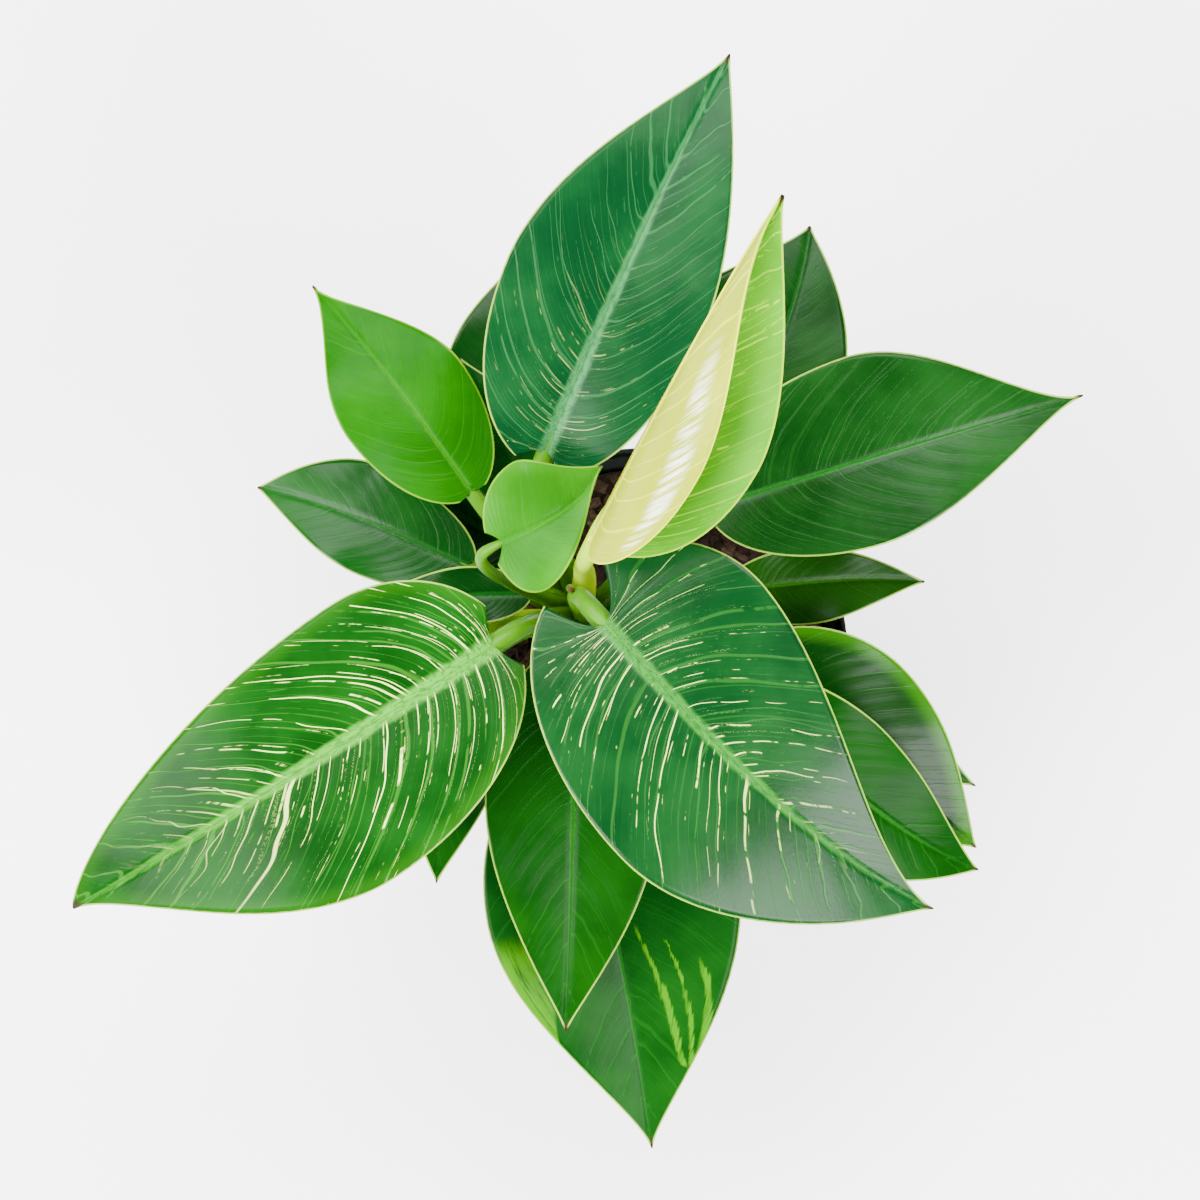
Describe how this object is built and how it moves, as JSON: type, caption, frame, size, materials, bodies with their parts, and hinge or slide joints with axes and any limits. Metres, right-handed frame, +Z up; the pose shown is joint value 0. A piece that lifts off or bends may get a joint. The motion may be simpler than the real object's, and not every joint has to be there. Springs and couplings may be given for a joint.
{
  "type": "potted philodendron birkin plant",
  "caption": "Philodendron birkin house plant in a round nursery pot, with pinstriped heart-shaped leaves on upright petioles in bark soil",
  "frame": {"origin": "middle of the pot's underside, on the surface that it stands on", "axes": "+Z up; +X to the right and +Y to the top of the view from above that the picture shows"},
  "size_m": [0.287, 0.3172, 0.2585],
  "materials": {
    "pot_plastic": "matte dark grey-green moulded plastic",
    "bark_soil": "coarse brown bark mix",
    "petiole": "satin yellow-green living tissue",
    "leaf_pinstriped": "glossy dark green with cream veins",
    "leaf_dark": "glossy dark green",
    "leaf_bright": "glossy bright green",
    "leaf_youngest": "glossy yellow-green, paler below"
  },
  "bodies": {
    "root": {"pot": "pot_plastic", "soil": "bark_soil", "stem": "petiole", "leaf_pinstripe_right": "leaf_pinstriped", "leaf_pinstripe_left": "leaf_pinstriped", "leaf_top": "leaf_dark", "leaf_youngest_folded": "leaf_youngest", "leaf_right": "leaf_dark", "leaf_upper_left": "leaf_bright", "leaf_mid_left": "leaf_dark", "leaf_small_heart": "leaf_bright", "leaf_lower_front": "leaf_dark", "leaf_lime_patched": "leaf_dark", "leaf_lower_left": "leaf_bright", "leaf_right_small": "leaf_dark", "leaf_lower_right_outer": "leaf_dark", "leaf_lower_right_inner": "leaf_dark", "leaf_lower_right_hidden": "leaf_dark", "leaf_behind_top_right": "leaf_dark", "leaf_behind_top_left": "leaf_dark", "leaf_inner_low": "leaf_dark", "leaf_inner_mid": "leaf_dark", "leaf_inner_left": "leaf_dark"}
  },
  "joints": []
}
